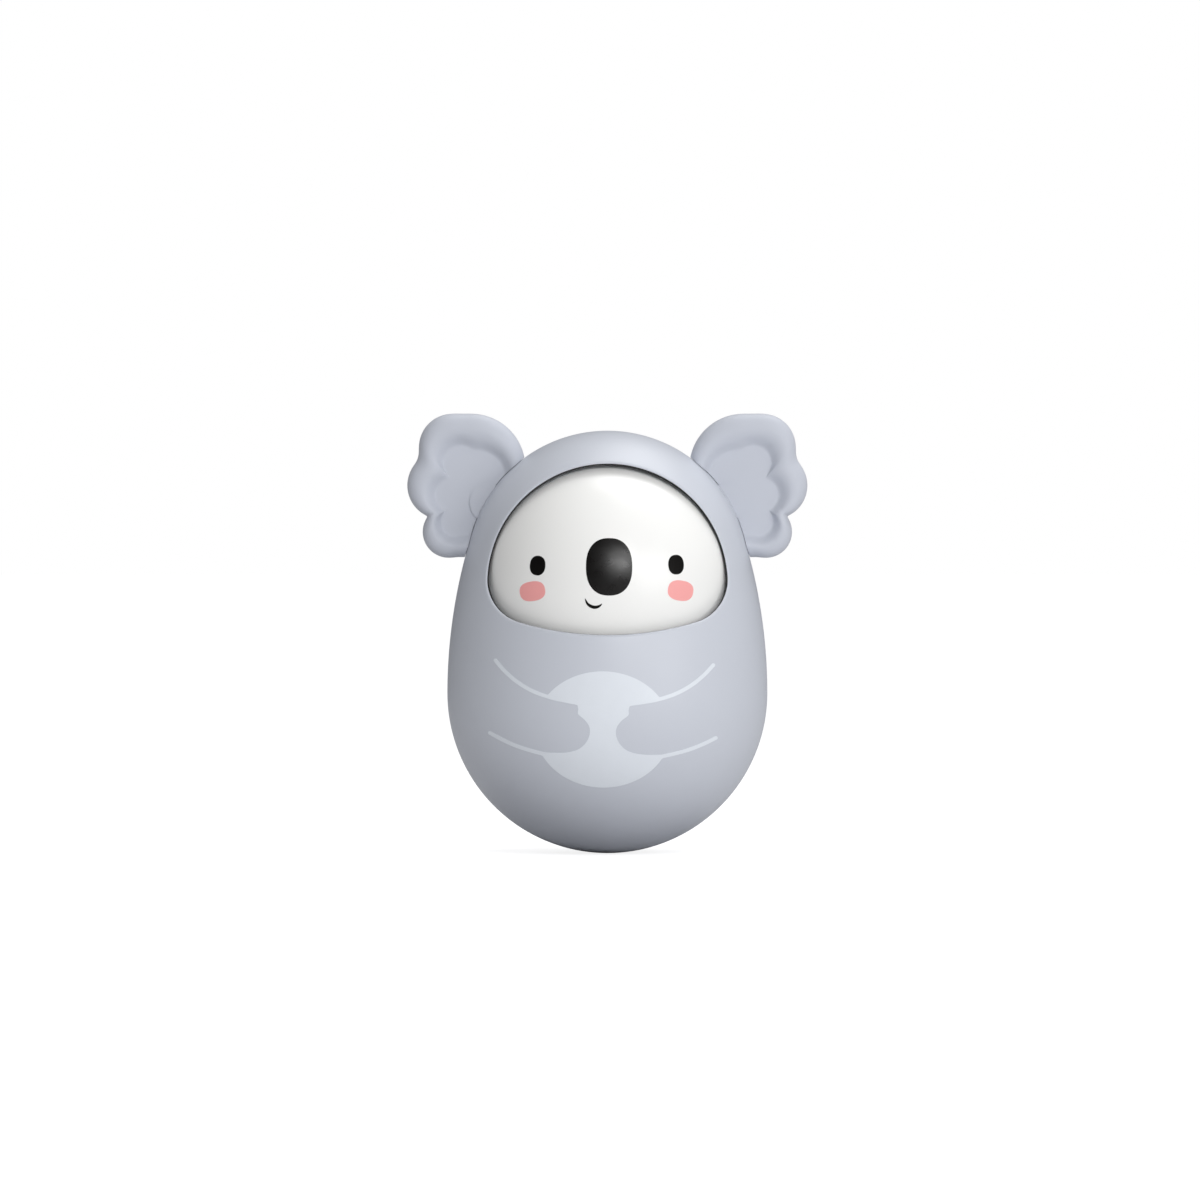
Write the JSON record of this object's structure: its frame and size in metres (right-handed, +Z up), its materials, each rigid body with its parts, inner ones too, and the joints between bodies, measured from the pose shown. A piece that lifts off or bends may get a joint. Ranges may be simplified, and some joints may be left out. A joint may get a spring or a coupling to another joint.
{
  "type": "roly poly toy",
  "caption": "Egg-shaped weighted tumbler toy with a hood opening, a nodding and turning ball head, two scalloped ears and a chiming bell inside.",
  "frame": {"origin": "the point of the rounded base that touches the floor, under the middle of the body", "axes": "+Z up, the face looks along -Y, +X to the right as seen from the front"},
  "size_m": [0.1248, 0.1, 0.1373],
  "materials": {
    "body_grey": "satin",
    "ear_grey": "soft matte",
    "face_white": "semi gloss",
    "inner_plastic": "matte",
    "iron": "as cast",
    "steel": "zinc plated",
    "bell_brass": "polished",
    "washer_rubber": "matte"
  },
  "bodies": {
    "root": {"rear_shell": "body_grey", "front_shell": "body_grey", "shell_screws": "steel", "left_ear": "ear_grey", "right_ear": "ear_grey", "ballast_weight": "iron", "ballast_screws": "steel", "base_frame": "inner_plastic", "deck": "inner_plastic", "deck_screws": "steel", "neck_post": "inner_plastic", "post_screw": "steel", "swivel_washer": "steel", "swivel_screw": "steel", "bell_dome": "bell_brass", "bell_washer": "washer_rubber", "bolt_nut": "steel", "eye_bolt": "steel", "link_pin": "steel"},
    "head_swivel": {"swivel_yoke": "inner_plastic"},
    "head": {"head_front": "face_white", "head_rear": "face_white", "head_screws": "steel", "head_weight": "steel", "nod_axle": "steel"},
    "clapper_link": {"clapper_link": "steel", "clapper_pin": "steel"},
    "clapper": {"clapper": "steel"}
  },
  "joints": [
    {"name": "head_turn", "type": "hinge", "parent": "root", "child": "head_swivel", "pos_m": [0, -0.008, 0.072], "axis": [0, 0, 1], "range_deg": [-14, 14]},
    {"name": "head_nod", "type": "hinge", "parent": "head_swivel", "child": "head", "pos_m": [0, -0.008, 0.0842], "axis": [1, 0, 0], "range_deg": [-8, 16]},
    {"name": "link_swing", "type": "hinge", "parent": "root", "child": "clapper_link", "pos_m": [0, 0.01, 0.03845], "axis": [1, 0, 0], "range_deg": [-32, 32]},
    {"name": "clapper_swing", "type": "hinge", "parent": "clapper_link", "child": "clapper", "pos_m": [0, 0.01, 0.03295], "axis": [0, 1, 0], "range_deg": [-32, 32]}
  ]
}
